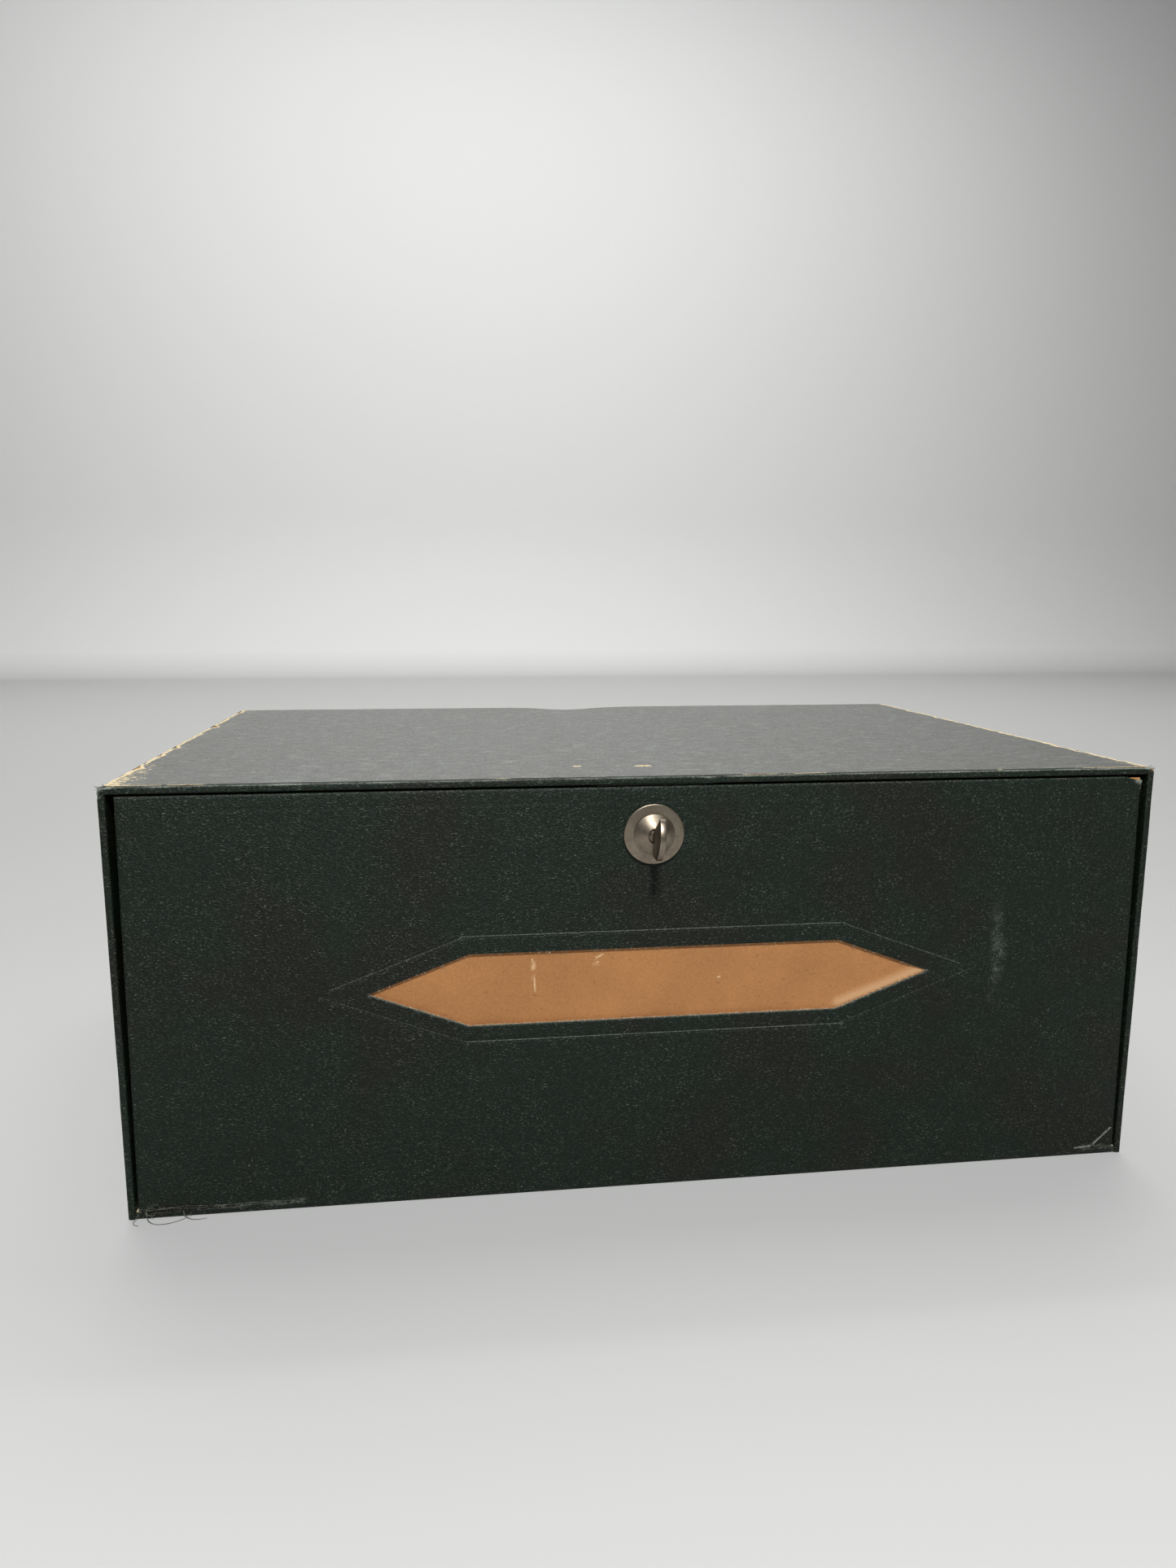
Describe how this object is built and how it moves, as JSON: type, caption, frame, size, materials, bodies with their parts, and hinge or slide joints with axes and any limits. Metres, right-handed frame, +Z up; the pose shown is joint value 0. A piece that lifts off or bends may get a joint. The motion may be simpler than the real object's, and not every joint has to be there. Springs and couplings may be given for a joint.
{
  "type": "drop-front document box",
  "caption": "Cloth-covered card box for papers, with a front that folds down on a cloth hinge, a pointed label window and a thumb-turn latch.",
  "frame": {"origin": "centre of the casing's footprint, on the underside of the base", "axes": "+Z up, +X to the right of a viewer who faces the front, and the front faces -Y"},
  "size_m": [0.38, 0.275, 0.156],
  "materials": {
    "greyboard": "raw pulp board",
    "green_grained_cloth": "leather-grain bookcloth, worn",
    "green_glazed_paper": "glazed, worn",
    "lining_paper": "matt, aged",
    "linen_tape": "woven tape",
    "kraft_card": "matt",
    "nickel": "dulled nickel plate",
    "bright_steel": "satin"
  },
  "bodies": {
    "casing": {"base_board": "greyboard", "left_side_board": "greyboard", "right_side_board": "greyboard", "back_board": "greyboard", "top_board": "greyboard", "side_wrap_cloth": "green_grained_cloth", "base_cover_sheet": "green_grained_cloth", "hinge_cloth": "green_grained_cloth", "edge_binding_cloth": "green_grained_cloth", "top_cover_sheet": "green_glazed_paper", "floor_lining": "lining_paper", "ceiling_lining": "lining_paper", "wall_lining": "lining_paper", "left_corner_tape": "linen_tape", "right_corner_tape": "linen_tape", "keeper_bracket": "bright_steel", "keeper_rivet_left": "bright_steel", "keeper_rivet_right": "bright_steel"},
    "drop_front": {"flap_front_board": "greyboard", "flap_back_board": "greyboard", "flap_cover_cloth": "green_grained_cloth", "flap_lining": "lining_paper", "label_card": "kraft_card", "rosette": "nickel", "backing_plate": "bright_steel"},
    "latch": {"knob_boss": "nickel", "thumb_blade": "nickel", "latch_tongue": "bright_steel", "spring_washer": "bright_steel", "spindle_nut": "bright_steel"}
  },
  "joints": [
    {"name": "drop_front_hinge", "type": "hinge", "parent": "casing", "child": "drop_front", "pos_m": [0, -0.129, 0.00265], "axis": [1, 0, 0], "range_deg": [0, 83.5]},
    {"name": "latch_turn", "type": "hinge", "parent": "drop_front", "child": "latch", "pos_m": [-0.002, -0.129, 0.1355], "axis": [0, -1, 0], "range_deg": [0, 94.5]}
  ]
}
